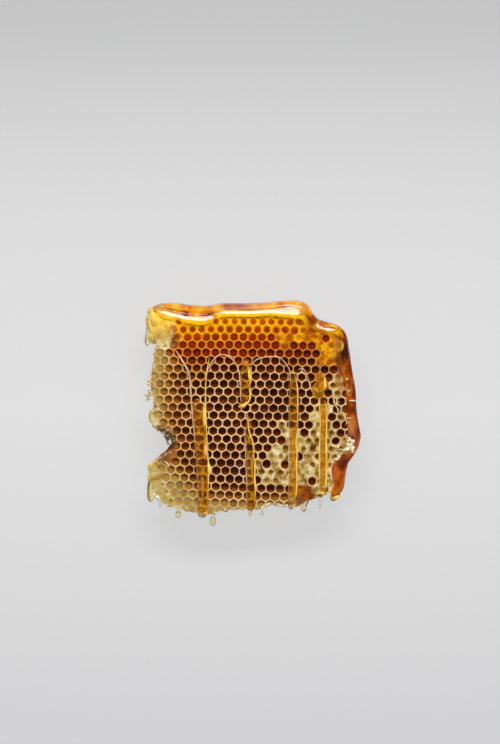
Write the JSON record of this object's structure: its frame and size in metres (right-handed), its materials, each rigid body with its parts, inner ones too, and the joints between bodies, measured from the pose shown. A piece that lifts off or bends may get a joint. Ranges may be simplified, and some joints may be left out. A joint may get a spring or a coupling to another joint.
{
  "type": "piece of natural honeycomb with honey",
  "caption": "Torn slab of natural wax honeycomb lying on its back, its cells open, full or capped, with a thick honey coat on two edges, runs down the face and hanging drops.",
  "frame": {"origin": "middle of the footprint, on the surface that the back lies on", "axes": "+Z out of the shown face and away from that surface, +Y up the comb as it hung, +X to the right when the shown face is looked at"},
  "size_m": [0.1269, 0.1331, 0.0293],
  "materials": {
    "wax": "satin beeswax, pale cream at the rims and deep amber in the cells",
    "honey": "clear glossy amber honey"
  },
  "bodies": {
    "root": {"comb": "wax", "honey_coat": "honey"}
  },
  "joints": []
}
